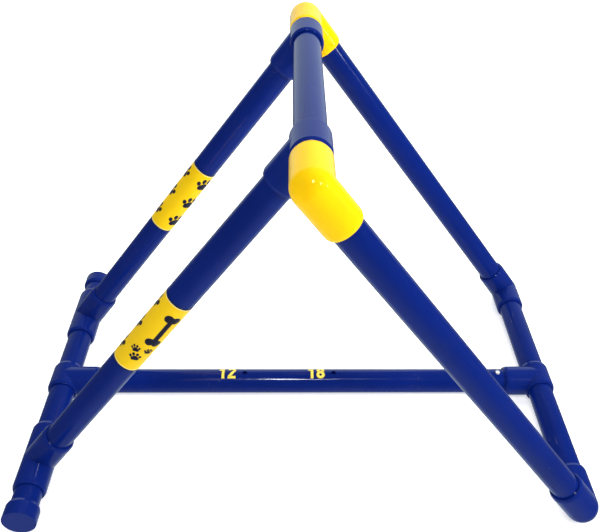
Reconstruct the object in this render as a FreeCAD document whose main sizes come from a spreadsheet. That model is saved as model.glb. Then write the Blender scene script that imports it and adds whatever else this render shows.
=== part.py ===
import FreeCAD, Part
import Sketcher
import math
import os

# Folding agility hurdle of furniture-grade PVC pipe: an A-frame whose top bar is the
# jump. The right panel carries the bar; the left panel hangs on the bar by two slip tees.
# A telescoping spreader between the two foot rails sets the height by its snap button.
#
# Row frame: millimetres, +Z up, the floor is z = 0. The jump bar runs along Y above
# x = 0. The bar panel's foot rail is at +X and the swing panel's foot rail is at -X.

DIMENSIONS = {
    # pipe: 1-1/4 inch and 1 inch furniture-grade PVC
    "pipe_diameter": 42.16,
    "pipe_wall": 3.56,
    "slim_diameter": 33.40,
    "slim_wall": 3.38,
    # fittings for the 1-1/4 inch pipe
    "fitting_diameter": 51.5,
    "socket_depth": 33.0,
    "socket_clearance": 0.05,
    "neck_step": 1.0,
    "turning_clearance": 0.35,
    "rim_length": 5.0,
    "rim_depth": 1.8,
    "rim_round": 0.7,
    "elbow_reach": 61.5,
    "hinge_reach": 62.0,
    "slip_half": 27.2,
    "spreader_reach": 61.0,
    "foot_half": 61.0,
    "foot_reach": 71.0,
    "cap_length": 27.0,
    "cap_end": 4.5,
    "cap_round": 1.2,
    # frame, to the axes of the pipes
    "rail_spread": 847.0,
    "apex_rise": 563.2,
    "bar_panel_half": 262.5,
    "swing_panel_half": 173.2,
    "cap_face": 287.5,
    # vinyl bands on the swing panel's legs
    "band_start": 283.0,
    "band_length": 138.0,
    "band_thickness": 0.2,
    "band_gap": 0.02,
    # telescoping spreader: places along X
    "collar_diameter": 46.0,
    "collar_length": 3.5,
    "bushing_stop": 2.0,
    "tube_gap": 0.5,
    "slim_end": 365.0,
    "hole_diameter": 9.0,
    "hole_low": -104.2,
    "hole_middle": 53.9,
    "hole_high": 349.2,
    # snap button and its V spring
    "button_diameter": 8.0,
    "button_height": 2.6,
    "button_dome": 1.8,
    "spring_width": 9.0,
    "spring_thickness": 0.8,
    "spring_length": 46.0,
    "spring_nose": 7.0,
    "spring_flat": 10.0,
    "spring_tail": 2.0,
    "spring_crotch": 1.0,
    "spring_margin": 0.3,
}

X_AXIS = FreeCAD.Vector(1, 0, 0)
Y_AXIS = FreeCAD.Vector(0, 1, 0)
Z_AXIS = FreeCAD.Vector(0, 0, 1)
SOCKET = "Dims.pipe_diameter + 2 * Dims.socket_clearance"
TURNING = "Dims.pipe_diameter + 2 * Dims.turning_clearance"
WATERWAY = "Dims.pipe_diameter - 2 * Dims.pipe_wall"
NECK = f"{WATERWAY} - 2 * Dims.neck_step"
LEG_LENGTH = "sqrt((Dims.rail_spread / 2)^2 + Dims.apex_rise^2)"

doc = FreeCAD.newDocument("agility_hurdle")
sheet = doc.addObject("Spreadsheet::Sheet", "Dims")
for row, (alias, number) in enumerate(DIMENSIONS.items(), 1):
    sheet.set(f"A{row}", alias)
    sheet.set(f"B{row}", str(number))
    sheet.setAlias(f"B{row}", alias)
doc.recompute()

bodies = []


def size(alias):
    """A driving dimension, read from the spreadsheet."""
    return float(sheet.get(alias))


def frame_at(origin, z_direction, x_direction):
    """Placement that puts a body's own origin, Z and X in the row frame."""
    y_direction = z_direction.cross(x_direction)
    rotation = FreeCAD.Rotation(x_direction, y_direction, z_direction, "ZXY")
    return FreeCAD.Placement(origin, rotation)


# Helpers for bodies and their features

def new_body(label, placement):
    body = doc.addObject("PartDesign::Body", label)
    body.Label = label
    body.Placement = placement
    bodies.append(body)
    return body


def new_sketch(body, name, plane, offset=None):
    """Sketch on one of the body's own origin planes, moved along its normal by offset."""
    sketch = body.newObject("Sketcher::SketchObject", name)
    support = next(item for item in body.Origin.OriginFeatures if item.Role == plane)
    sketch.AttachmentSupport = (support, [""])
    sketch.MapMode = "FlatFace"
    if offset is not None:
        sketch.setExpression("AttachmentOffset.Base.z", offset)
    return sketch


def add_circle(sketch, diameter):
    """Circle centred on the sketch's origin."""
    circle = sketch.addGeometry(Part.Circle(FreeCAD.Vector(), Z_AXIS, 10))
    sketch.addConstraint(Sketcher.Constraint("Coincident", circle, 3, -1, 1))
    width = sketch.addConstraint(Sketcher.Constraint("Diameter", circle, 20))
    sketch.setExpression(f"Constraints[{width}]", diameter)


def add_outline(sketch, points):
    """Closed outline of straight lines through the points."""
    for start, end in zip(points, points[1:] + points[:1]):
        sketch.addGeometry(Part.LineSegment(FreeCAD.Vector(*start), FreeCAD.Vector(*end)))


def pad(body, sketch, length, symmetric=False, reverse=False):
    feature = body.newObject("PartDesign::Pad", f"{sketch.Name}_pad")
    feature.Profile = sketch
    feature.setExpression("Length", length)
    feature.SideType = "Symmetric" if symmetric else "One side"
    feature.Reversed = reverse
    doc.recompute()
    return feature


def pocket(body, sketch, length, symmetric=False, reverse=False):
    """Cut the sketch into the body, and make sure that it took material away."""
    before = body.Shape.Volume
    feature = body.newObject("PartDesign::Pocket", f"{sketch.Name}_pocket")
    feature.Profile = sketch
    feature.setExpression("Length", length)
    feature.SideType = "Symmetric" if symmetric else "One side"
    feature.Reversed = reverse
    doc.recompute()
    if body.Shape.Volume > before - 1:
        raise RuntimeError(f"{body.Label}: {sketch.Name} cuts nothing")
    return feature


def round_pad(body, name, plane, diameter, length, symmetric=False):
    sketch = new_sketch(body, name, plane)
    add_circle(sketch, diameter)
    return pad(body, sketch, length, symmetric)


def round_pocket(body, name, plane, diameter, length, offset=None, symmetric=False,
                 reverse=False):
    sketch = new_sketch(body, name, plane, offset)
    add_circle(sketch, diameter)
    return pocket(body, sketch, length, symmetric, reverse)


def ring_edges(shape, radius, test):
    """Names of the full circles of this radius whose centres pass the test."""
    names = []
    for number, edge in enumerate(shape.Edges, 1):
        if edge.Degenerated or edge.Curve.TypeId != "Part::GeomCircle":
            continue
        if not edge.isClosed() or abs(edge.Curve.Radius - radius) > 1e-4:
            continue
        if test(edge.Curve.Center):
            names.append(f"Edge{number}")
    return names


def soften_rims(body, is_mouth):
    """Long shallow chamfer round the outside of every mouth, with a rounded lip."""
    outside = size("fitting_diameter") / 2
    narrowed = outside - size("rim_depth")
    for number in range(len(ring_edges(body.Tip.Shape, outside, is_mouth))):
        rim = body.newObject("PartDesign::Chamfer", f"{body.Label}_rim_{number}")
        base = rim.BaseFeature
        rim.Base = (base, ring_edges(base.Shape, outside, is_mouth)[:1])
        rim.ChamferType = "Two distances"
        rim.setExpression("Size", "Dims.rim_depth")
        rim.setExpression("Size2", "Dims.rim_length")
        for flip in (False, True):
            rim.FlipDirection = flip
            doc.recompute()
            if rim.isValid() and len(ring_edges(rim.Shape, narrowed, is_mouth)) == number + 1:
                break
        else:
            raise RuntimeError(f"{body.Label}: rim {number} was not chamfered")
    lip = body.newObject("PartDesign::Fillet", f"{body.Label}_lip")
    lip.Base = (lip.BaseFeature, ring_edges(lip.BaseFeature.Shape, narrowed, is_mouth))
    lip.setExpression("Radius", "Dims.rim_round")
    doc.recompute()


# Pipes and bands

def make_pipe(label, placement, length, diameter="Dims.pipe_diameter", bore=WATERWAY):
    """Straight pipe along its own Z, from the origin."""
    body = new_body(label, placement)
    section = new_sketch(body, f"{label}_section", "XY_Plane")
    add_circle(section, diameter)
    add_circle(section, bore)
    pad(body, section, length)
    return body


def drill_top(body, name, holes):
    """Holes through one wall only, on the side that the body's own X points to."""
    sketch = new_sketch(body, name, "YZ_Plane")
    for along in holes:
        centre = size(along) - body.Placement.Base.x
        hole = sketch.addGeometry(Part.Circle(FreeCAD.Vector(0, centre, 0), Z_AXIS, 4))
        sketch.addConstraint(Sketcher.Constraint("PointOnObject", hole, 3, -2))
        place = sketch.addConstraint(
            Sketcher.Constraint("DistanceY", -1, 1, hole, 3, centre))
        sketch.setExpression(
            f"Constraints[{place}]", f"Dims.{along} - ({body.Placement.Base.x})")
        width = sketch.addConstraint(Sketcher.Constraint("Diameter", hole, 9))
        sketch.setExpression(f"Constraints[{width}]", "Dims.hole_diameter")
    pocket(body, sketch, "Dims.pipe_diameter", reverse=True)


# Fittings

def make_elbow(label, placement):
    """90 degree elbow: sockets towards its own Z and X, with a ball-shaped corner."""
    body = new_body(label, placement)
    planes = (("up", "XY_Plane"), ("across", "YZ_Plane"))
    for name, plane in planes:
        round_pad(body, f"{label}_arm_{name}", plane, "Dims.fitting_diameter",
                  "Dims.elbow_reach")
    corner = body.newObject("PartDesign::AdditiveSphere", f"{label}_corner")
    corner.setExpression("Radius", "Dims.fitting_diameter / 2")
    doc.recompute()
    soften_rims(body, lambda centre: centre.Length > size("elbow_reach") - 1)
    hollow = body.newObject("PartDesign::SubtractiveSphere", f"{label}_hollow")
    hollow.setExpression("Radius", f"({WATERWAY}) / 2")
    doc.recompute()
    for name, plane in planes:
        for part, diameter, depth in (("neck", WATERWAY, "Dims.elbow_reach"),
                                      ("socket", SOCKET, "Dims.socket_depth")):
            round_pocket(body, f"{label}_{part}_{name}", plane, diameter, depth,
                         "Dims.elbow_reach")
    return body


def make_tee(label, placement, half, reach, slips):
    """Tee: its run lies along its own X and its branch points along its own Z.

    A slip tee has a smooth bore right through the run, so that it turns on its pipe.
    The branch's neck is a little narrower than the run's bore.
    """
    body = new_body(label, placement)
    round_pad(body, f"{label}_run", "YZ_Plane", "Dims.fitting_diameter",
              f"2 * Dims.{half}", symmetric=True)
    soften_rims(body, lambda centre: abs(centre.x) > size(half) - 1)
    round_pad(body, f"{label}_branch", "XY_Plane", "Dims.fitting_diameter", f"Dims.{reach}")
    soften_rims(body, lambda centre: centre.z > size(reach) - 1)
    round_pocket(body, f"{label}_bore", "YZ_Plane", TURNING if slips else WATERWAY,
                 f"2 * Dims.{half}", symmetric=True)
    if not slips:
        round_pocket(body, f"{label}_socket_front", "YZ_Plane", SOCKET, "Dims.socket_depth",
                     f"Dims.{half}")
        round_pocket(body, f"{label}_socket_back", "YZ_Plane", SOCKET, "Dims.socket_depth",
                     f"-Dims.{half}", reverse=True)
    for name, diameter, depth in (("neck", NECK, f"Dims.{reach}"),
                                  ("socket", SOCKET, "Dims.socket_depth")):
        round_pocket(body, f"{label}_{name}", "XY_Plane", diameter, depth, f"Dims.{reach}")
    return body


def make_cap(label, placement):
    """End cap: its mouth is at its own origin and its closed end points along Z."""
    body = new_body(label, placement)
    round_pad(body, f"{label}_shell", "XY_Plane", "Dims.fitting_diameter", "Dims.cap_length")
    closed = ring_edges(body.Tip.Shape, size("fitting_diameter") / 2,
                        lambda centre: centre.z > size("cap_length") / 2)
    shoulder = body.newObject("PartDesign::Fillet", f"{label}_shoulder")
    shoulder.Base = (shoulder.BaseFeature, closed)
    shoulder.setExpression("Radius", "Dims.cap_round")
    doc.recompute()
    soften_rims(body, lambda centre: centre.z < 1)
    round_pocket(body, f"{label}_socket", "XY_Plane", SOCKET,
                 "Dims.cap_length - Dims.cap_end", reverse=True)
    return body


def make_bushing(label, placement):
    """Reducer bushing along its own Z: a plug for the tee's socket, then its collar."""
    body = new_body(label, placement)
    round_pad(body, f"{label}_plug", "XY_Plane", "Dims.pipe_diameter",
              "Dims.socket_depth + Dims.collar_length")
    collar = new_sketch(body, f"{label}_collar", "XY_Plane", "Dims.socket_depth")
    add_circle(collar, "Dims.collar_diameter")
    pad(body, collar, "Dims.collar_length")
    slim_socket = "Dims.slim_diameter + 2 * Dims.socket_clearance"
    round_pocket(body, f"{label}_socket", "XY_Plane", slim_socket,
                 "Dims.socket_depth + Dims.collar_length", "Dims.bushing_stop", reverse=True)
    round_pocket(body, f"{label}_eye", "XY_Plane", "Dims.slim_diameter - 2 * Dims.slim_wall",
                 "Dims.socket_depth", reverse=True)
    return body


def make_snap_button(label, placement):
    """V spring with its riveted button; its own Z points up and its own X to the V's mouth.

    The origin is on the axis of the tubes, below the button.
    """
    body = new_body(label, placement)
    bore = size("slim_diameter") / 2 - size("slim_wall")
    thickness = size("spring_thickness")
    top = math.sqrt(bore ** 2 - (size("spring_width") / 2) ** 2) - size("spring_margin")
    under = top - thickness
    nose = -size("spring_length")
    fold = nose + size("spring_nose") / 2
    mouth = size("button_diameter") / 2 + size("spring_tail")
    flat = mouth - size("spring_flat")
    outline = [
        (nose, -top), (mouth, -top), (mouth, -under),
        (fold, -under), (fold, -under + size("spring_crotch")),
        (flat, under), (mouth, under),
        (mouth, top), (flat, top), (nose, -top + size("spring_nose")),
    ]
    spring = new_sketch(body, f"{label}_spring", "XZ_Plane")
    add_outline(spring, outline)
    pad(body, spring, "Dims.spring_width", symmetric=True)
    pin = new_sketch(body, f"{label}_pin", "XY_Plane")
    pin.AttachmentOffset = FreeCAD.Placement(FreeCAD.Vector(0, 0, under), FreeCAD.Rotation())
    add_circle(pin, "Dims.button_diameter")
    pad(body, pin, f"Dims.pipe_diameter / 2 + Dims.button_height - {under}")
    crown = ring_edges(body.Tip.Shape, size("button_diameter") / 2,
                       lambda centre: centre.z > size("pipe_diameter") / 2)
    dome = body.newObject("PartDesign::Fillet", f"{label}_dome")
    dome.Base = (dome.BaseFeature, crown)
    dome.setExpression("Radius", "Dims.button_dome")
    doc.recompute()
    return body


# Assembly. Places are worked out from the driving dimensions.

floor_to_rail = size("fitting_diameter") / 2
half_spread = size("rail_spread") / 2
leg_length = math.hypot(half_spread, size("apex_rise"))
apex_height = floor_to_rail + size("apex_rise")
bar_leg = FreeCAD.Vector(half_spread, 0, -size("apex_rise")).normalize()
swing_leg = FreeCAD.Vector(-half_spread, 0, -size("apex_rise")).normalize()
elbow_stop = size("elbow_reach") - size("socket_depth")
hinge_stop = size("hinge_reach") - size("socket_depth")
foot_run_stop = size("foot_half") - size("socket_depth")
spreader_stop = size("spreader_reach") - size("socket_depth")


def on_bar(along):
    return FreeCAD.Vector(0, along, apex_height)


def on_rail(side, along):
    return FreeCAD.Vector(side * half_spread, along, floor_to_rail)


# Bar panel: jump bar, two legs and a foot rail, joined by four elbows
bar_start = -(size("bar_panel_half") - elbow_stop)
long_pipe = "2 * (Dims.bar_panel_half - Dims.elbow_reach + Dims.socket_depth)"
leg_pipe = f"{LEG_LENGTH} - 2 * (Dims.elbow_reach - Dims.socket_depth)"
make_pipe("jump_bar", frame_at(on_bar(bar_start), Y_AXIS, Z_AXIS), long_pipe)
make_pipe("bar_foot_rail", frame_at(on_rail(1, bar_start), Y_AXIS, Z_AXIS), long_pipe)
for name, side in (("near", -1), ("far", 1)):
    across = side * size("bar_panel_half")
    inward = Y_AXIS * -side
    make_elbow(f"top_elbow_{name}", frame_at(on_bar(across), bar_leg, inward))
    make_elbow(f"foot_elbow_{name}", frame_at(on_rail(1, across), bar_leg * -1, inward))
    make_pipe(f"bar_leg_{name}",
              frame_at(on_bar(across) + bar_leg * elbow_stop, bar_leg, Y_AXIS), leg_pipe)

# Swing panel: two slip tees on the jump bar, two legs, and a foot rail with capped ends
rail_start = -(size("swing_panel_half") - foot_run_stop)
make_pipe("swing_foot_rail", frame_at(on_rail(-1, rail_start), Y_AXIS, Z_AXIS),
          "2 * (Dims.swing_panel_half - Dims.foot_half + Dims.socket_depth)")
swing_pipe = (f"{LEG_LENGTH} - (Dims.hinge_reach - Dims.socket_depth)"
              " - (Dims.foot_reach - Dims.socket_depth)")
stub_pipe = ("Dims.cap_face - Dims.cap_end - Dims.swing_panel_half"
             " - (Dims.foot_half - Dims.socket_depth)")
band_outside = "Dims.pipe_diameter + 2 * (Dims.band_gap + Dims.band_thickness)"
band_inside = "Dims.pipe_diameter + 2 * Dims.band_gap"
for name, side in (("near", -1), ("far", 1)):
    across = side * size("swing_panel_half")
    outward = Y_AXIS * side
    make_tee(f"hinge_tee_{name}", frame_at(on_bar(across), swing_leg, Y_AXIS),
             "slip_half", "hinge_reach", slips=True)
    make_tee(f"foot_tee_{name}", frame_at(on_rail(-1, across), swing_leg * -1, Y_AXIS),
             "foot_half", "foot_reach", slips=False)
    make_pipe(f"swing_leg_{name}",
              frame_at(on_bar(across) + swing_leg * hinge_stop, swing_leg, Y_AXIS),
              swing_pipe)
    make_pipe(f"paw_band_{name}",
              frame_at(on_bar(across) + swing_leg * size("band_start"), swing_leg, Y_AXIS),
              "Dims.band_length", band_outside, band_inside)
    stub_start = side * (size("swing_panel_half") + foot_run_stop)
    make_pipe(f"rail_stub_{name}", frame_at(on_rail(-1, stub_start), outward, Z_AXIS),
              stub_pipe)
    cap_start = side * (size("cap_face") - size("cap_length"))
    make_cap(f"end_cap_{name}", frame_at(on_rail(-1, cap_start), outward, Z_AXIS))

# Spreader: the wide tube turns with the bar panel's tee, the slim one with the other tee
make_tee("spreader_tee_bar", frame_at(on_rail(1, 0), X_AXIS * -1, Y_AXIS),
         "slip_half", "spreader_reach", slips=True)
make_tee("spreader_tee_swing", frame_at(on_rail(-1, 0), X_AXIS, Y_AXIS),
         "slip_half", "spreader_reach", slips=True)
socket_bottom = -half_spread + spreader_stop
bushing_at = FreeCAD.Vector(socket_bottom, 0, floor_to_rail)
make_bushing("reducer_bushing", frame_at(bushing_at, X_AXIS, Z_AXIS))
slim_start = socket_bottom + size("bushing_stop")
slim_tube = make_pipe("spreader_slim_tube",
                      frame_at(FreeCAD.Vector(slim_start, 0, floor_to_rail), X_AXIS, Z_AXIS),
                      f"Dims.slim_end - ({slim_start})", "Dims.slim_diameter",
                      "Dims.slim_diameter - 2 * Dims.slim_wall")
drill_top(slim_tube, "button_hole", ["hole_high"])
wide_start = (-half_spread + size("spreader_reach") + size("collar_length")
              + size("tube_gap"))
wide_tube = make_pipe("spreader_wide_tube",
                      frame_at(FreeCAD.Vector(wide_start, 0, floor_to_rail), X_AXIS, Z_AXIS),
                      f"{half_spread - spreader_stop} - ({wide_start})")
drill_top(wide_tube, "height_holes", ["hole_low", "hole_middle", "hole_high"])
button_at = FreeCAD.Vector(size("hole_high"), 0, floor_to_rail)
make_snap_button("snap_button", frame_at(button_at, Z_AXIS, X_AXIS))

# Every feature must be sound before anything is written
doc.recompute()
for item in doc.Objects:
    if {"Invalid", "Error"} & set(item.State):
        raise RuntimeError(f"{item.Label} failed: {item.State}")
for body in bodies:
    shape = body.Shape
    if shape.isNull() or not shape.isValid() or len(shape.Solids) != 1:
        raise RuntimeError(f"{body.Label} is not one valid solid")

os.makedirs("parts", exist_ok=True)
for body in bodies:
    body.Shape.exportStep(os.path.join("parts", f"{body.Label}.step"))
    box = body.Shape.BoundBox
    print(f"{body.Label:20s} {body.Shape.Volume:10.0f} mm3"
          f"  x {box.XMin:7.1f} {box.XMax:7.1f}  y {box.YMin:7.1f} {box.YMax:7.1f}"
          f"  z {box.ZMin:6.1f} {box.ZMax:6.1f}")
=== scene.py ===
import math

import bmesh
import bpy
from mathutils import Euler, Matrix, Vector


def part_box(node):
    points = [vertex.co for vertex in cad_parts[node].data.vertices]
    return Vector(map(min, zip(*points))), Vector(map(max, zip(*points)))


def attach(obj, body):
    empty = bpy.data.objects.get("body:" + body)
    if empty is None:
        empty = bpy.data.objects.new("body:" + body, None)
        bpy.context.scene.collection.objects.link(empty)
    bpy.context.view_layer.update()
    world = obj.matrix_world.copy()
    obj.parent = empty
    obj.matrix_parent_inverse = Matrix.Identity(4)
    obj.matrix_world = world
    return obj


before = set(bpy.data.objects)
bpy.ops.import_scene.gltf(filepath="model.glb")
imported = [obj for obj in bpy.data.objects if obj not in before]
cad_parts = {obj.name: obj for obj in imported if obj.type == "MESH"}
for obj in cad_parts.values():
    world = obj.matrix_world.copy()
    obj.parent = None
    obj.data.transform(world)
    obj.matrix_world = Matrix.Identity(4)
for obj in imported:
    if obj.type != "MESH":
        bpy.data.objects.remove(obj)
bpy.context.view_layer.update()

bl_info = {
    "name": "Agility Hurdle Looks",
    "version": (1, 0, 0),
    "blender": (4, 5, 0),
    "location": "View3D > Sidebar > Hurdle",
    "description": "Finishes, printed vinyl and stage for a folding pipe agility hurdle",
    "category": "Object",
}

MM = 0.001
X_AXIS = Vector((1, 0, 0))
Y_AXIS = Vector((0, 1, 0))
Z_AXIS = Vector((0, 0, 1))
WHITE = (1.0, 1.0, 1.0)

# Lines of the frame, from the boxes of the jump bar, a foot rail and the wide tube
BAR_LOW, BAR_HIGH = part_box("jump_bar")
RAIL_LOW, RAIL_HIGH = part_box("swing_foot_rail")
WIDE_LOW, WIDE_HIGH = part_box("spreader_wide_tube")
BAR_CENTRE = (BAR_LOW + BAR_HIGH) / 2
RAIL_CENTRE = (RAIL_LOW + RAIL_HIGH) / 2
PIPE_RADIUS = (BAR_HIGH.z - BAR_LOW.z) / 2
SWING_LEG = (RAIL_CENTRE - BAR_CENTRE).normalized()
BAR_LEG = Vector((-SWING_LEG.x, 0, SWING_LEG.z))
TUBE_HEIGHT = (WIDE_LOW.z + WIDE_HIGH.z) / 2

# Soft lights: name, place, size and power. Only their light is used, not their reflections.
SOFTBOXES = (
    ("overhead", (0.2, 1.3, 2.0), (2.2, 2.2), 44),
    ("key", (2.3, -0.6, 1.4), (1.2, 1.2), 62),
    ("fill", (-1.7, -0.9, 1.5), (1.2, 1.2), 16),
)
# Small ceiling lamps in a row in front of the hurdle, seen as points on its gloss
LAMPS = ((0.04, -1.40, 2.60), (1.92, -1.75, 2.60), (6.00, -1.60, 2.60))
LAMP_SIZE = (0.36, 0.36)
AIM_POINT = Vector((0, 0, 0.3))
FLOOR_SIZE = 14
# The floor's own light, which keeps it pale right up to the hurdle
FLOOR_GLOW = 0.6

# The room round the hurdle, by how far a direction points along Y or Z. A pair is where a
# shade starts and where it is full, and the two shades are the brightness at those ends.
ROOM_TINT = (0.82, 0.96, 1.0)
WALL_BEHIND = (0.60, 0.88)
WALL_FOOT = (-0.50, -0.15)
WALL_TOP = (0.45, 0.72)
WALL_TOP_SHADE = (1.0, 0.25)
FLOOR_BELOW = (-0.35, -0.80)
FLOOR_BEHIND = (-0.10, 0.35)
FLOOR_SHADE = (0.20, 0.55)

# Refractive index of extruded and moulded plastic, and of the printed film
PLASTIC_IOR = 1.53
FILM_IOR = 1.5
# How far light spreads in the plastic that lets it in, for red, green and blue
GLOW_RADIUS = (1.0, 0.6, 0.1)
GLOW_SCALE = 8 * MM
# What wear adds: roughness where a face is rubbed, and how much a scratch is paler
HAZE_LIFT = 0.16
SCRATCH_SHARE = 0.35

# The bone on each band, drawn upright: length, lobe radius, shaft width and place
BONE_LENGTH = 64 * MM
BONE_LOBE = 6.6 * MM
BONE_SHAFT = 7.4 * MM
BONE_PLACE = (5 * MM, 20 * MM)
# Small paws under the bone: place, size and turn
SMALL_PAWS = (((-8 * MM, -30 * MM), 0.50, 0.5), ((-1 * MM, -44 * MM), 0.60, 0.35),
              ((9 * MM, -26 * MM), 0.46, 0.1))

# Rings at each end of a band: name, middle beyond the end, width and lift off the vinyl
# The pale edge ring is a painted highlight on the band's end, and the dark ring beyond it is
# painted shade on the pipe
END_RINGS = (("edge", -0.5 * MM, 1.1 * MM, 0.05 * MM),
             ("painted_shade", 1.2 * MM, 2.4 * MM, 0.02 * MM))

# Height numbers, with how far each hole is from the hole that the button is in
HOLE_NUMBERS = (("12", 453.4 * MM), ("18", 295.3 * MM), ("24", 0.0))
# From the mouth of the button's clip to the middle of the button
CLIP_MOUTH = 6.0 * MM
# Widest strip of a flat mark that is bent round a pipe
STRIP = 1.2 * MM


# Settings that a user would change

def colour_property(name, description, default):
    return bpy.props.FloatVectorProperty(
        name=name, description=description, default=default, size=3,
        min=0.0, max=1.0, subtype="COLOR")


class HurdleFinish(bpy.types.PropertyGroup):
    pipe_blue: colour_property("Pipe blue", "Extruded pipe", (0.0016, 0.0124, 0.147))
    fitting_blue: colour_property("Fitting blue", "Moulded fittings", (0.0030, 0.0145, 0.156))
    elbow_yellow: colour_property("Elbow yellow", "Top elbows", (1.0, 0.60, 0.004))
    vinyl_yellow: colour_property("Vinyl yellow", "Leg bands", (0.86, 0.55, 0.005))
    # The same navy also paints a ring of shade on the pipe beside each end of a band
    navy_ink_and_shade: colour_property("Ink navy", "Prints on the bands", (0.005, 0.005, 0.026))
    digit_yellow: colour_property("Digit yellow", "Height numerals", (1.0, 0.78, 0.10))
    digit_edge: colour_property("Digit edge", "Outline of the numerals", (0.05, 0.03, 0.006))
    # Painted highlight: a pale ring along each end of a band stands in for the light its edge
    # catches
    painted_edge_highlight: colour_property("Edge highlight", "Ends of the leg bands", (1.0, 0.88, 0.42))
    steel: colour_property("Steel", "Snap button", (0.80, 0.80, 0.79))
    gloss: bpy.props.FloatProperty(
        name="Gloss roughness", description="Roughness of polished plastic",
        default=0.11, min=0.0, max=1.0, subtype="FACTOR")


class HurdlePrint(bpy.types.PropertyGroup):
    digit_height: bpy.props.FloatProperty(
        name="Digit height", description="Height of the numerals round the tube",
        default=25.5 * MM, unit="LENGTH")
    digit_pitch: bpy.props.FloatProperty(
        name="Digit pitch", description="Distance between the digits of a number",
        default=17 * MM, unit="LENGTH")
    digit_weight: bpy.props.FloatProperty(
        name="Digit weight", description="Width of a numeral's strokes",
        default=4.7 * MM, unit="LENGTH")
    digit_line: bpy.props.FloatProperty(
        name="Digit outline", description="Width of the dark line round a numeral",
        default=0.8 * MM, unit="LENGTH")
    digit_rise: bpy.props.FloatProperty(
        name="Number rise", description="From the top of the tube to the number's middle",
        default=1.0 * MM, unit="LENGTH")
    digit_offset: bpy.props.FloatProperty(
        name="Number offset", description="From a hole to the middle of its number",
        default=31.5 * MM, unit="LENGTH")
    film: bpy.props.FloatProperty(
        name="Film", description="Thickness of a printed mark",
        default=0.12 * MM, unit="LENGTH")
    paw_pitch: bpy.props.FloatProperty(
        name="Paw pitch", description="Distance between paw prints along a leg",
        default=45.5 * MM, unit="LENGTH")
    paw_shift: bpy.props.FloatProperty(
        name="Paw shift", description="From a band's middle up to its middle paws",
        default=-2.5 * MM, unit="LENGTH")
    paw_size: bpy.props.FloatProperty(
        name="Paw size", description="Scale of the paws in the rows", default=1.06, min=0.1)
    paw_row_angle: bpy.props.FloatProperty(
        name="Row angle", description="From the middle of the print to a row of paws",
        default=math.radians(112), unit="ROTATION")
    near_angle: bpy.props.FloatProperty(
        name="Near band angle", description="Where the near band's print is centred",
        default=math.radians(93), unit="ROTATION")
    far_angle: bpy.props.FloatProperty(
        name="Far band angle", description="Where the far band's print is centred",
        default=math.radians(244), unit="ROTATION")


class HurdleStage(bpy.types.PropertyGroup):
    camera_place: bpy.props.FloatVectorProperty(
        name="Camera place", description="Lens position over the floor",
        default=(-0.0229, -0.9325, 0.9942), size=3, subtype="TRANSLATION")
    camera_yaw: bpy.props.FloatProperty(
        name="Yaw", description="Turn to the right of the Y axis",
        default=math.radians(2.0), unit="ROTATION")
    camera_pitch: bpy.props.FloatProperty(
        name="Pitch", description="Tilt below the horizon",
        default=math.radians(37.47), unit="ROTATION")
    camera_roll: bpy.props.FloatProperty(
        name="Roll", description="Roll about the line of sight",
        default=math.radians(1.425), unit="ROTATION")
    lens: bpy.props.FloatProperty(
        name="Lens", description="Focal length in millimetres on a 36 mm sensor",
        default=44.28, min=1.0)
    shift: bpy.props.FloatVectorProperty(
        name="Shift", description="Lens shift", default=(-0.0187, 0.0055), size=2)
    floor: colour_property("Floor", "Plain floor", (0.93, 0.93, 0.94))
    room: bpy.props.FloatProperty(
        name="Room", description="Even light of the room", default=0.07, min=0.0)
    wall: bpy.props.FloatProperty(
        name="Wall", description="Brightness of the wall behind", default=0.66, min=0.0)
    soft_power: bpy.props.FloatProperty(
        name="Softboxes", description="Scale of all the soft light", default=1.0, min=0.0)
    lamp_power: bpy.props.FloatProperty(
        name="Lamps", description="Power of each small ceiling lamp", default=18.0, min=0.0)


# Shader node groups shared by the materials

def group_socket(tree, name, in_out, kind, default=None, low=None, high=None):
    socket = tree.interface.new_socket(name=name, in_out=in_out, socket_type=kind)
    if default is not None:
        socket.default_value = default
    if low is not None:
        socket.min_value = low
        socket.max_value = high


def add_node(tree, kind, place, **values):
    node = tree.nodes.new(kind)
    node.location = place
    for key, value in values.items():
        setattr(node, key, value)
    return node


def math_node(tree, operation, place, first, second):
    node = add_node(tree, "ShaderNodeMath", place, operation=operation)
    for socket, value in zip(node.inputs, (first, second)):
        if isinstance(value, bpy.types.NodeSocket):
            tree.links.new(value, socket)
        else:
            socket.default_value = value
    return node.outputs[0]


def noise(tree, vector, place, scale, detail, roughness=0.5):
    node = add_node(tree, "ShaderNodeTexNoise", place)
    tree.links.new(vector, node.inputs["Vector"])
    node.inputs["Detail"].default_value = detail
    node.inputs["Roughness"].default_value = roughness
    if isinstance(scale, bpy.types.NodeSocket):
        tree.links.new(scale, node.inputs["Scale"])
    else:
        node.inputs["Scale"].default_value = scale
    return node.outputs["Fac"]


def spread(tree, value, place, low, high, to_low=0.0, to_high=1.0):
    node = add_node(tree, "ShaderNodeMapRange", place)
    tree.links.new(value, node.inputs["Value"])
    for name, number in (("From Min", low), ("From Max", high),
                         ("To Min", to_low), ("To Max", to_high)):
        node.inputs[name].default_value = number
    return node.outputs["Result"]


def new_group(name):
    tree = bpy.data.node_groups.new(name, "ShaderNodeTree")
    group_socket(tree, "Vector", "INPUT", "NodeSocketVector")
    start = add_node(tree, "NodeGroupInput", (-900, 0))
    end = add_node(tree, "NodeGroupOutput", (700, 0))
    return tree, start, end


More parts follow.
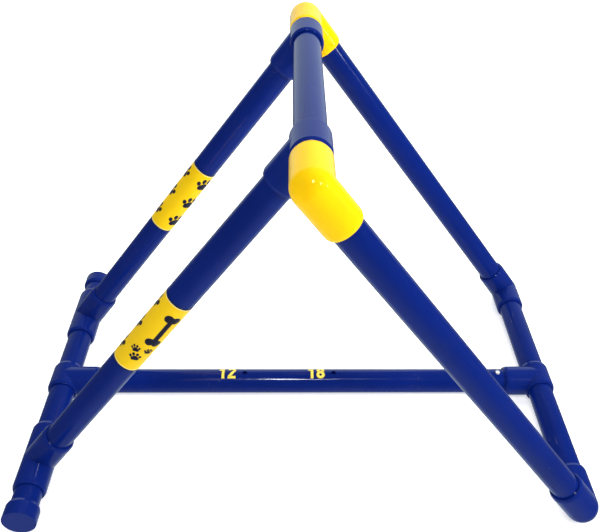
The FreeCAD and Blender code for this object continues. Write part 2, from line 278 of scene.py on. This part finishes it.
def build_extrusion_lines():
    """Fine die lines that run along an extruded pipe."""
    tree, start, end = new_group("Extrusion Lines")
    group_socket(tree, "Fineness", "INPUT", "NodeSocketFloat", 420.0, 1.0, 5000.0)
    group_socket(tree, "Height", "OUTPUT", "NodeSocketFloat")
    stretch = add_node(tree, "ShaderNodeMapping", (-700, 0))
    stretch.inputs["Scale"].default_value = (1.0, 1.0, 0.012)
    tree.links.new(start.outputs["Vector"], stretch.inputs["Vector"])
    fine = noise(tree, stretch.outputs[0], (-480, 120), start.outputs["Fineness"], 3.0)
    broad = noise(tree, stretch.outputs[0], (-480, -160), 95.0, 1.0)
    wide = math_node(tree, "MULTIPLY", (-240, -160), broad, 0.6)
    total = math_node(tree, "ADD", (-20, 0), fine, wide)
    tree.links.new(total, end.inputs["Height"])
    return tree


def build_moulded_skin():
    """Slow waviness and fine orange peel of an injection-moulded face."""
    tree, start, end = new_group("Moulded Skin")
    group_socket(tree, "Peel", "INPUT", "NodeSocketFloat", 900.0, 1.0, 9000.0)
    group_socket(tree, "Height", "OUTPUT", "NodeSocketFloat")
    peel = noise(tree, start.outputs["Vector"], (-480, 120), start.outputs["Peel"], 1.5)
    wave = noise(tree, start.outputs["Vector"], (-480, -160), 55.0, 1.0)
    fine = math_node(tree, "MULTIPLY", (-240, 120), peel, 0.3)
    total = math_node(tree, "ADD", (0, 0), fine, wave)
    tree.links.new(total, end.inputs["Height"])
    return tree


def build_handling_wear():
    """Hair scratches and faint hazy rubs from being carried and stacked."""
    tree, start, end = new_group("Handling Wear")
    group_socket(tree, "Amount", "INPUT", "NodeSocketFloat", 0.5, 0.0, 1.0)
    group_socket(tree, "Haze", "OUTPUT", "NodeSocketFloat")
    group_socket(tree, "Scratches", "OUTPUT", "NodeSocketFloat")
    cloud = noise(tree, start.outputs["Vector"], (-600, 160), 16.0, 4.0, 0.6)
    haze = spread(tree, cloud, (-380, 160), 0.47, 0.72)
    haze = math_node(tree, "MULTIPLY", (-140, 160), haze, start.outputs["Amount"])
    tree.links.new(haze, end.inputs["Haze"])
    turn = add_node(tree, "ShaderNodeMapping", (-700, -160))
    turn.inputs["Rotation"].default_value = (0.6, 0.9, 0.3)
    turn.inputs["Scale"].default_value = (1.0, 0.03, 1.0)
    tree.links.new(start.outputs["Vector"], turn.inputs["Vector"])
    hairs = noise(tree, turn.outputs[0], (-480, -160), 700.0, 1.0)
    hairs = spread(tree, hairs, (-260, -160), 0.685, 0.74)
    where = spread(tree, cloud, (-260, -380), 0.52, 0.62)
    hairs = math_node(tree, "MULTIPLY", (-40, -200), hairs, where)
    hairs = math_node(tree, "MULTIPLY", (160, -200), hairs, start.outputs["Amount"])
    tree.links.new(hairs, end.inputs["Scratches"])
    return tree


def build_colour_drift():
    """Slight light and dark drift of a colour over the surface."""
    tree, start, end = new_group("Colour Drift")
    group_socket(tree, "Colour", "INPUT", "NodeSocketColor", (0.5, 0.5, 0.5, 1.0))
    group_socket(tree, "Drift", "INPUT", "NodeSocketFloat", 0.1, 0.0, 1.0)
    group_socket(tree, "Colour", "OUTPUT", "NodeSocketColor")
    cloud = noise(tree, start.outputs["Vector"], (-600, 120), 9.0, 3.0)
    amount = math_node(tree, "SUBTRACT", (-380, 120), cloud, 0.5)
    amount = math_node(tree, "MULTIPLY", (-180, 120), amount, start.outputs["Drift"])
    value = math_node(tree, "MULTIPLY_ADD", (20, 120), amount, 2.0)
    value.node.inputs[2].default_value = 1.0
    shift = add_node(tree, "ShaderNodeHueSaturation", (240, 0))
    tree.links.new(value, shift.inputs["Value"])
    tree.links.new(start.outputs["Colour"], shift.inputs["Color"])
    tree.links.new(shift.outputs["Color"], end.inputs["Colour"])
    return tree


GROUP_BUILDERS = {
    "Extrusion Lines": build_extrusion_lines,
    "Moulded Skin": build_moulded_skin,
    "Handling Wear": build_handling_wear,
    "Colour Drift": build_colour_drift,
}


def place_group(tree, name, place, vector, **values):
    """A shared group in a material, with the values that this material gives it."""
    if name not in bpy.data.node_groups:
        GROUP_BUILDERS[name]()
    node = add_node(tree, "ShaderNodeGroup", place)
    node.node_tree = bpy.data.node_groups[name]
    tree.links.new(vector, node.inputs["Vector"])
    for key, value in values.items():
        node.inputs[key].default_value = value
    return node


# Materials

def new_material(name):
    """An empty material with a Principled shader and object coordinates."""
    material = bpy.data.materials.new(name)
    material.use_nodes = True
    tree = material.node_tree
    tree.nodes.clear()
    output = add_node(tree, "ShaderNodeOutputMaterial", (900, 0))
    shader = add_node(tree, "ShaderNodeBsdfPrincipled", (600, 0))
    tree.links.new(shader.outputs[0], output.inputs[0])
    coordinates = add_node(tree, "ShaderNodeTexCoord", (-1100, 0))
    return material, tree, shader, coordinates.outputs["Object"]


def add_bump(tree, shader, height, distance):
    bump = add_node(tree, "ShaderNodeBump", (380, -320))
    bump.inputs["Distance"].default_value = distance
    tree.links.new(height, bump.inputs["Height"])
    tree.links.new(bump.outputs[0], shader.inputs["Normal"])


def add_worn_surface(tree, shader, vector, colour, drift, wear, roughness, scratch_lift=0.25):
    """Colour with drift, and roughness that rises where the surface is rubbed."""
    tint = place_group(tree, "Colour Drift", (-600, 300), vector,
                       Colour=(*colour, 1.0), Drift=drift)
    marks = place_group(tree, "Handling Wear", (-600, 0), vector, Amount=wear)
    paler = add_node(tree, "ShaderNodeMix", (200, 300), data_type="RGBA")
    paler.inputs["B"].default_value = tuple(0.6 * c + 0.22 for c in colour) + (1.0,)
    share = math_node(tree, "MULTIPLY", (0, 140), marks.outputs["Scratches"], SCRATCH_SHARE)
    tree.links.new(share, paler.inputs["Factor"])
    tree.links.new(tint.outputs[0], paler.inputs["A"])
    tree.links.new(paler.outputs["Result"], shader.inputs["Base Color"])
    hazy = spread(tree, marks.outputs["Haze"], (-200, -60), 0.0, 1.0,
                  roughness, roughness + HAZE_LIFT)
    lift = math_node(tree, "MULTIPLY", (-200, -240), marks.outputs["Scratches"], scratch_lift)
    rough = math_node(tree, "ADD", (200, -60), hazy, lift)
    tree.links.new(rough, shader.inputs["Roughness"])


def pipe_material(name, colour, direction, gloss):
    """Polished extruded pipe, with die lines along the given direction."""
    material, tree, shader, vector = new_material(name)
    add_worn_surface(tree, shader, vector, colour, drift=0.16, wear=0.5, roughness=gloss)
    align = add_node(tree, "ShaderNodeMapping", (-880, -400))
    turn = Z_AXIS.rotation_difference(direction).inverted().to_euler()
    align.inputs["Rotation"].default_value = turn
    tree.links.new(vector, align.inputs["Vector"])
    lines = place_group(tree, "Extrusion Lines", (-600, -400), align.outputs[0])
    add_bump(tree, shader, lines.outputs["Height"], 0.03 * MM)
    shader.inputs["IOR"].default_value = PLASTIC_IOR
    return material


def fitting_material(name, colour, gloss, tint=WHITE, specular=0.5, depth=0.0):
    """Polished injection-moulded fitting, which light may enter to some depth."""
    material, tree, shader, vector = new_material(name)
    add_worn_surface(tree, shader, vector, colour, drift=0.12, wear=0.45, roughness=gloss)
    skin = place_group(tree, "Moulded Skin", (-600, -400), vector)
    add_bump(tree, shader, skin.outputs["Height"], 0.09 * MM)
    shader.inputs["IOR"].default_value = PLASTIC_IOR
    shader.inputs["Specular Tint"].default_value = (*tint, 1.0)
    shader.inputs["Specular IOR Level"].default_value = specular
    shader.inputs["Subsurface Weight"].default_value = depth
    shader.inputs["Subsurface Radius"].default_value = GLOW_RADIUS
    shader.inputs["Subsurface Scale"].default_value = GLOW_SCALE
    return material


def vinyl_material(name, colour, roughness, tint=WHITE):
    """Printed self-adhesive film: satin, with a little of the wrap's unevenness."""
    material, tree, shader, vector = new_material(name)
    add_worn_surface(tree, shader, vector, colour, drift=0.10, wear=0.35,
                     roughness=roughness, scratch_lift=0.15)
    skin = place_group(tree, "Moulded Skin", (-600, -400), vector, Peel=1500.0)
    add_bump(tree, shader, skin.outputs["Height"], 0.05 * MM)
    shader.inputs["IOR"].default_value = FILM_IOR
    shader.inputs["Specular Tint"].default_value = (*tint, 1.0)
    return material


def steel_material(name, colour):
    """Satin plated spring steel with fine scratches, partly diffuse."""
    material, tree, shader, vector = new_material(name)
    add_worn_surface(tree, shader, vector, colour, drift=0.2, wear=0.9,
                     roughness=0.16, scratch_lift=0.4)
    skin = place_group(tree, "Moulded Skin", (-600, -400), vector, Peel=2500.0)
    add_bump(tree, shader, skin.outputs["Height"], 0.02 * MM)
    shader.inputs["Metallic"].default_value = 0.3
    return material


def floor_material(name, colour):
    material, tree, shader, vector = new_material(name)
    tint = place_group(tree, "Colour Drift", (-600, 300), vector,
                       Colour=(*colour, 1.0), Drift=0.01)
    tree.links.new(tint.outputs[0], shader.inputs["Base Color"])
    shader.inputs["Roughness"].default_value = 0.8
    shader.inputs["Specular IOR Level"].default_value = 0.1
    shader.inputs["Emission Color"].default_value = (*WHITE, 1.0)
    shader.inputs["Emission Strength"].default_value = FLOOR_GLOW
    return material


def give(node, material):
    """Replace whatever finish a CAD node came with."""
    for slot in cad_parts[node].material_slots:
        slot.material = material


# Thin printed marks, drawn flat and wrapped round a pipe

def ellipse(centre, across, up, turn=0.0, steps=28):
    points = []
    for step in range(steps):
        angle = 2 * math.pi * step / steps
        x = across / 2 * math.cos(angle)
        y = up / 2 * math.sin(angle)
        points.append((centre[0] + x * math.cos(turn) - y * math.sin(turn),
                       centre[1] + x * math.sin(turn) + y * math.cos(turn)))
    return points


def moved(outline, place, size=1.0, turn=0.0):
    cos, sin = math.cos(turn) * size, math.sin(turn) * size
    return [(place[0] + x * cos - y * sin, place[1] + x * sin + y * cos)
            for x, y in outline]


def paw_pad(width, height, steps=44):
    """Rounded three-lobed pad with a shallow dip at its heel."""
    points = []
    for step in range(steps):
        angle = 2 * math.pi * step / steps
        lobes = 1 + 0.10 * math.cos(3 * (angle - math.pi / 2))
        heel = 1 - 0.16 * math.exp(-((angle - 1.5 * math.pi) / 0.38) ** 2)
        points.append((width / 2 * lobes * heel * math.cos(angle),
                       height / 2 * lobes * heel * math.sin(angle)))
    return points


def paw(size=1.0, turn=0.0):
    """Outlines of a generic paw print: a pad and four toes that point up."""
    toes = (((-11.0, 5.5), 6.4, 8.6, 0.42), ((-4.6, 12.4), 6.8, 9.4, 0.12),
            ((4.6, 12.4), 6.8, 9.4, -0.12), ((11.0, 5.5), 6.4, 8.6, -0.42))
    shapes = [paw_pad(18.5, 14.5)]
    shapes += [ellipse(centre, across, up, lean) for centre, across, up, lean in toes]
    return [moved(shape, (0, 0), size * MM, turn) for shape in shapes]


def arc(centre, radius, start, end, steps=14):
    return [(centre[0] + radius * math.cos(start + (end - start) * k / steps),
             centre[1] + radius * math.sin(start + (end - start) * k / steps))
            for k in range(steps + 1)]


def bone(length, lobe, shaft):
    """Outline of a dog's bone that lies along the vertical."""
    middle = lobe * 0.78
    tip = length / 2 - lobe
    waist = math.asin((shaft / 2 - middle) / lobe)
    notch = math.asin(middle / lobe)
    quarter = arc((tip, middle), lobe, math.pi - waist, -notch)
    half = quarter + [(x, -y) for x, y in reversed(quarter[:-1])]
    outline = half + [(-x, -y) for x, y in half]
    return [(-y, x) for x, y in outline]


def flat_mesh(outlines):
    """Flat plates with the given outlines."""
    mesh = bmesh.new()
    for outline in outlines:
        face = mesh.faces.new([mesh.verts.new((x, y, 0)) for x, y in outline])
        face.normal_update()
        if face.normal.z < 0:
            face.normal_flip()
    return mesh


def cut_across(mesh, axis, step):
    """Cut flat plates into narrow strips so that they can bend round a pipe."""
    values = [vertex.co[axis] for vertex in mesh.verts]
    normal = Vector((0, 0, 0))
    normal[axis] = 1
    line = math.ceil(min(values) / step) * step
    while line < max(values):
        geometry = mesh.verts[:] + mesh.edges[:] + mesh.faces[:]
        bmesh.ops.bisect_plane(mesh, geom=geometry, plane_co=normal * line,
                               plane_no=normal, dist=step * 0.001)
        line += step


def wrap_mark(name, mesh, origin, along, outward, radius, film, around_axis):
    """Thicken flat plates and wrap them round a pipe.

    One flat axis runs along the pipe and the other, around_axis, goes round it, from the
    outward direction.
    """
    cut_across(mesh, around_axis, STRIP)
    bmesh.ops.triangulate(mesh, faces=[f for f in mesh.faces if len(f.verts) > 4])
    top = bmesh.ops.extrude_face_region(mesh, geom=mesh.faces[:])["geom"]
    bmesh.ops.translate(mesh, vec=(0, 0, film),
                        verts=[item for item in top if isinstance(item, bmesh.types.BMVert)])
    sideways = outward.cross(along) if around_axis == 1 else along.cross(outward)
    for vertex in mesh.verts:
        flat = vertex.co.copy()
        angle = flat[around_axis] / radius
        spoke = outward * math.cos(angle) + sideways * math.sin(angle)
        vertex.co = origin + along * flat[1 - around_axis] + spoke * (radius + flat.z)
    bmesh.ops.recalc_face_normals(mesh, faces=mesh.faces[:])
    return new_piece(name, mesh)


def new_piece(name, mesh):
    """A linked object that takes over a finished bmesh."""
    data = bpy.data.meshes.new(name)
    mesh.to_mesh(data)
    mesh.free()
    piece = bpy.data.objects.new(name, data)
    bpy.context.scene.collection.objects.link(piece)
    return piece


def stroke(points, weight):
    """Outline of a line of the given weight through the points, with square ends."""
    left, right = [], []
    for number, (x, y) in enumerate(points):
        before = points[max(number - 1, 0)]
        after = points[min(number + 1, len(points) - 1)]
        heading = math.atan2(after[1] - before[1], after[0] - before[0])
        aside = (-math.sin(heading) * weight / 2, math.cos(heading) * weight / 2)
        left.append((x + aside[0], y + aside[1]))
        right.append((x - aside[0], y - aside[1]))
    return left + right[::-1]


# Centre lines of the bold numerals, in a box that is NUMERAL_BOX high
NUMERAL_BOX = 23.0
NUMERALS = {
    "1": [[(1.6, -11.5), (1.6, 11.5)], [(2.4, 9.6), (-4.4, 5.2)]],
    "2": [arc((0, 5.0), 4.4, math.radians(170), math.radians(-36)),
          [(4.4, 3.4), (-4.2, -8.6)], [(-6.2, -9.4), (6.4, -9.4)]],
    "4": [[(2.9, -11.5), (2.9, 11.5)], [(2.6, 10.2), (-5.4, -3.4)], [(-6.6, -4.6), (6.8, -4.6)]],
    "8": [arc((0, y), radius, start, start + math.pi, 20)
          for y, radius in ((5.3, 4.1), (-4.9, 4.5)) for start in (0, math.pi)],
}


def number_outlines(text, marks, weight):
    """Outlines of a number's strokes, centred at the height where it is stuck on."""
    size = marks.digit_height / NUMERAL_BOX
    outlines = []
    for place, digit in enumerate(text):
        shift = (place - (len(text) - 1) / 2) * marks.digit_pitch
        for line in NUMERALS[digit]:
            outlines.append(stroke(moved(line, (shift, marks.digit_rise), size), weight))
    return outlines


# Marks on the bands of the swing panel's legs

def band_radius(low, high):
    """Outside radius of a leg's band, from its width along Y."""
    return (high.y - low.y) / 2


def band_half(low, high):
    """Half the length of a leg's band, from its box along X."""
    overhang = 2 * band_radius(low, high) * abs(SWING_LEG.z)
    return (high.x - low.x - overhang) / abs(SWING_LEG.x) / 2


def sleeve(name, centre, direction, radius, width, steps=96):
    """Thin ring with bevelled shoulders that reaches down to the pipe."""
    thickness = radius - PIPE_RADIUS
    section = ((-0.5, -1.0), (-0.5, -0.4), (-0.35, 0.0), (0.35, 0.0), (0.5, -0.4), (0.5, -1.0))
    up = direction.cross(Y_AXIS)
    mesh = bmesh.new()
    rings = []
    for step in range(steps):
        angle = 2 * math.pi * step / steps
        spoke = Y_AXIS * math.cos(angle) + up * math.sin(angle)
        rings.append([mesh.verts.new(centre + direction * along * width
                                     + spoke * (radius + rise * thickness))
                      for along, rise in section])
    for ring, after in zip(rings, rings[1:] + rings[:1]):
        for k in range(len(section)):
            mesh.faces.new((ring[k - 1], ring[k], after[k], after[k - 1]))
    bmesh.ops.recalc_face_normals(mesh, faces=mesh.faces[:])
    return new_piece(name, mesh)


def add_end_rings(band, low, high, materials):
    """A ring of painted highlight along each end of a leg's band, and a ring of painted shade on
    the pipe just beyond it.
    """
    centre = (low + high) / 2
    radius = band_radius(low, high)
    half = band_half(low, high)
    for end, side in (("top", -1), ("foot", 1)):
        for line, beyond, width, lift in END_RINGS:
            place = centre + SWING_LEG * side * (half + beyond)
            ring = sleeve(f"band_{line}_{band}_{end}", place, SWING_LEG, radius + lift, width)
            ring.data.materials.append(materials[line])
            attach(ring, "swing_panel")


def print_mark(name, outlines, centre, spoke, radius, ink):
    """Ink the outlines on a leg's band, centred on the spoke's side of it."""
    film = bpy.context.scene.hurdle_print.film
    piece = wrap_mark(name, flat_mesh(outlines), centre, -SWING_LEG, spoke, radius, film, 0)
    piece.data.materials.append(ink)
    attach(piece, "swing_panel")


# Lamps of the stage

def add_lamp(name, place, size, power, reflected):
    """Area lamp aimed at the middle of the hurdle; a soft one leaves no reflection."""
    data = bpy.data.lights.new(name, "AREA")
    data.shape = "RECTANGLE"
    data.size, data.size_y = size
    data.energy = power
    lamp = bpy.data.objects.new(name, data)
    lamp.visible_glossy = reflected
    lamp.visible_camera = False
    bpy.context.scene.collection.objects.link(lamp)
    lamp.location = place
    aim = AIM_POINT - Vector(place)
    lamp.rotation_euler = aim.to_track_quat("-Z", "Y").to_euler()


# Operators

class HURDLE_OT_finish_frame(bpy.types.Operator):
    """Give every pipe, fitting, band and button its finish"""
    bl_idname = "hurdle.finish_frame"
    bl_label = "Finish the Frame"

    def execute(self, context):
        finish = context.scene.hurdle_finish
        blue = tuple(finish.pipe_blue)
        gloss = finish.gloss
        directions = {
            "across": (Y_AXIS, ("jump_bar", "bar_foot_rail", "swing_foot_rail",
                                "rail_stub_near", "rail_stub_far")),
            "spreader": (X_AXIS, ("spreader_wide_tube", "spreader_slim_tube")),
            "bar_leg": (BAR_LEG, ("bar_leg_near", "bar_leg_far")),
            "swing_leg": (SWING_LEG, ("swing_leg_near", "swing_leg_far")),
        }
        for key, (direction, nodes) in directions.items():
            material = pipe_material(f"pvc_pipe_{key}", blue, direction, gloss)
            for node in nodes:
                give(node, material)
        blue_fitting = fitting_material("pvc_fitting_blue", tuple(finish.fitting_blue), gloss)
        yellow = fitting_material("pvc_fitting_yellow", tuple(finish.elbow_yellow), gloss,
                                  tint=(1.0, 0.90, 0.40), specular=0.4, depth=0.2)
        vinyl = vinyl_material("band_vinyl", tuple(finish.vinyl_yellow), 0.34,
                               tint=(1.0, 0.80, 0.10))
        steel = steel_material("plated_steel", tuple(finish.steel))
        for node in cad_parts:
            if node.startswith("top_elbow"):
                give(node, yellow)
            elif node.startswith("paw_band"):
                give(node, vinyl)
            elif node == "snap_button":
                give(node, steel)
            elif any(word in node for word in ("tee", "elbow", "cap", "bushing")):
                give(node, blue_fitting)
        return {"FINISHED"}


class HURDLE_OT_height_numbers(bpy.types.Operator):
    """Stick a height number beside each hole of the spreader's wide tube"""
    bl_idname = "hurdle.height_numbers"
    bl_label = "Height Numbers"

    def execute(self, context):
        finish = context.scene.hurdle_finish
        marks = context.scene.hurdle_print
        ink = vinyl_material("number_film", tuple(finish.digit_yellow), 0.35)
        edge = vinyl_material("number_edge", tuple(finish.digit_edge), 0.4)
        layers = (("line", marks.digit_weight + 2 * marks.digit_line, marks.film / 2, edge),
                  ("face", marks.digit_weight, marks.film, ink))
        last_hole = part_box("snap_button")[1].x - CLIP_MOUTH
        for text, back in HOLE_NUMBERS:
            origin = Vector((last_hole - back - marks.digit_offset, 0, TUBE_HEIGHT))
            for layer, weight, film, material in layers:
                mesh = flat_mesh(number_outlines(text, marks, weight))
                piece = wrap_mark(f"height_{text}_{layer}", mesh, origin, X_AXIS, Z_AXIS,
                                  PIPE_RADIUS, film, 1)
                piece.data.materials.append(material)
                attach(piece, "spreader_outer")
        return {"FINISHED"}


class HURDLE_OT_paw_prints(bpy.types.Operator):
    """Print rows of paws and a bone on the vinyl bands, and ring the bands' ends with painted
    highlight and painted shade
    """
    bl_idname = "hurdle.paw_prints"
    bl_label = "Paw Prints"

    def execute(self, context):
        finish = context.scene.hurdle_finish
        marks = context.scene.hurdle_print
        ink = vinyl_material("printed_ink", tuple(finish.navy_ink_and_shade), 0.34)
        # The pale film paints a highlight along the bands' ends
        pale = vinyl_material("band_edge_painted_highlight", tuple(finish.painted_edge_highlight), 0.5)
        outward = Y_AXIS.cross(SWING_LEG)
        front = -Y_AXIS
        for band, angle in (("near", marks.near_angle), ("far", marks.far_angle)):
            low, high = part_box(f"paw_band_{band}")
            centre = (low + high) / 2
            radius = band_radius(low, high)
            # Each end of a band gets a ring of painted highlight and, in the navy ink, a ring of
            # painted shade
            add_end_rings(band, low, high, {"edge": pale, "painted_shade": ink})
            for row, turn in (("left", -marks.paw_row_angle), ("right", marks.paw_row_angle)):
                spoke = outward * math.cos(angle + turn) + front * math.sin(angle + turn)
                outlines = []
                for count in (-1, 0, 1):
                    rise = count * marks.paw_pitch + marks.paw_shift
                    outlines += [moved(shape, (0, rise)) for shape in paw(marks.paw_size)]
                print_mark(f"paws_{band}_{row}", outlines, centre, spoke, radius, ink)
            spoke = outward * math.cos(angle) + front * math.sin(angle)
            outlines = [moved(bone(BONE_LENGTH, BONE_LOBE, BONE_SHAFT), BONE_PLACE)]
            for place, size, turn in SMALL_PAWS:
                outlines += [moved(shape, place) for shape in paw(size, turn)]
            print_mark(f"bone_{band}", outlines, centre, spoke, radius, ink)
        return {"FINISHED"}


class HURDLE_OT_stage(bpy.types.Operator):
    """Pale floor, soft studio light and the camera"""
    bl_idname = "hurdle.stage"
    bl_label = "Stage"

    def execute(self, context):
        stage = context.scene.hurdle_stage
        bpy.ops.mesh.primitive_plane_add(size=FLOOR_SIZE, location=(0, 0, 0))
        floor = context.object
        floor.name = "floor"
        floor.data.materials.append(floor_material("pale_floor", tuple(stage.floor)))
        floor.visible_glossy = False
        self.add_camera(context, stage)
        self.add_room(context, stage)
        for name, place, size, power in SOFTBOXES:
            add_lamp(name, place, size, power * stage.soft_power, False)
        for number, place in enumerate(LAMPS, 1):
            add_lamp(f"lamp_{number}", place, LAMP_SIZE, stage.lamp_power, True)
        context.scene.view_settings.view_transform = "Standard"
        return {"FINISHED"}

    def add_camera(self, context, stage):
        data = bpy.data.cameras.new("camera")
        data.lens = stage.lens
        data.sensor_width = 36.0
        data.shift_x, data.shift_y = stage.shift
        data.clip_end = 50.0
        camera = bpy.data.objects.new("camera", data)
        context.scene.collection.objects.link(camera)
        tilt = math.pi / 2 - stage.camera_pitch
        aim = Euler((tilt, 0, -stage.camera_yaw), "XYZ").to_matrix()
        roll = Matrix.Rotation(stage.camera_roll, 3, "Z")
        camera.matrix_world = Matrix.Translation(stage.camera_place) @ (aim @ roll).to_4x4()
        context.scene.camera = camera

    def add_room(self, context, stage):
        """A dim room with a bright wall behind the hurdle and a paler floor than ceiling."""
        world = bpy.data.worlds.new("room")
        world.use_nodes = True
        tree = world.node_tree
        room = tree.nodes["Background"]
        room.inputs["Color"].default_value = (*ROOM_TINT, 1.0)
        output = tree.nodes["World Output"]
        direction = add_node(tree, "ShaderNodeTexCoord", (-1300, 0)).outputs["Generated"]
        parts = add_node(tree, "ShaderNodeSeparateXYZ", (-1100, 0))
        tree.links.new(direction, parts.inputs[0])
        behind = spread(tree, parts.outputs["Y"], (-850, 300), *WALL_BEHIND)
        above = spread(tree, parts.outputs["Z"], (-850, 60), *WALL_FOOT)
        wall = math_node(tree, "MULTIPLY", (-620, 200), behind, above)
        top = spread(tree, parts.outputs["Z"], (-620, 460), *WALL_TOP, *WALL_TOP_SHADE)
        wall = math_node(tree, "MULTIPLY", (-500, 340), wall, top)
        wall = math_node(tree, "MULTIPLY", (-400, 200), wall, stage.wall)
        down = spread(tree, parts.outputs["Z"], (-850, -200), *FLOOR_BELOW)
        lit = spread(tree, parts.outputs["Y"], (-850, -440), *FLOOR_BEHIND, *FLOOR_SHADE)
        ground = math_node(tree, "MULTIPLY", (-620, -300), down, lit)
        total = math_node(tree, "ADD", (-200, 0), wall, ground)
        total = math_node(tree, "ADD", (0, 0), total, stage.room)
        tree.links.new(total, room.inputs["Strength"])
        backdrop = add_node(tree, "ShaderNodeBackground", (200, -260))
        backdrop.inputs["Color"].default_value = (*stage.floor, 1.0)
        seen = add_node(tree, "ShaderNodeLightPath", (200, 400))
        choice = add_node(tree, "ShaderNodeMixShader", (500, 0))
        tree.links.new(seen.outputs["Is Camera Ray"], choice.inputs[0])
        tree.links.new(room.outputs[0], choice.inputs[1])
        tree.links.new(backdrop.outputs[0], choice.inputs[2])
        tree.links.new(choice.outputs[0], output.inputs["Surface"])
        context.scene.world = world


class HURDLE_PT_panel(bpy.types.Panel):
    """Lists the steps that dress the hurdle"""
    bl_idname = "HURDLE_PT_panel"
    bl_label = "Agility Hurdle"
    bl_space_type = "VIEW_3D"
    bl_region_type = "UI"
    bl_category = "Hurdle"

    def draw(self, context):
        layout = self.layout
        for step in STEPS:
            layout.operator(step.bl_idname)
        for settings, heading in ((context.scene.hurdle_finish, "Finish"),
                                  (context.scene.hurdle_print, "Prints"),
                                  (context.scene.hurdle_stage, "Stage")):
            box = layout.box()
            box.label(text=heading)
            for name in settings.__annotations__:
                box.prop(settings, name)


STEPS = (HURDLE_OT_finish_frame, HURDLE_OT_height_numbers, HURDLE_OT_paw_prints,
         HURDLE_OT_stage)
CLASSES = (HurdleFinish, HurdlePrint, HurdleStage, *STEPS, HURDLE_PT_panel)


def register():
    for item in CLASSES:
        bpy.utils.register_class(item)
    bpy.types.Scene.hurdle_finish = bpy.props.PointerProperty(type=HurdleFinish)
    bpy.types.Scene.hurdle_print = bpy.props.PointerProperty(type=HurdlePrint)
    bpy.types.Scene.hurdle_stage = bpy.props.PointerProperty(type=HurdleStage)


def unregister():
    del bpy.types.Scene.hurdle_stage
    del bpy.types.Scene.hurdle_print
    del bpy.types.Scene.hurdle_finish
    for item in reversed(CLASSES):
        bpy.utils.unregister_class(item)


def main():
    register()
    bpy.ops.hurdle.finish_frame()
    bpy.ops.hurdle.height_numbers()
    bpy.ops.hurdle.paw_prints()
    bpy.ops.hurdle.stage()


if __name__ == "__main__":
    main()
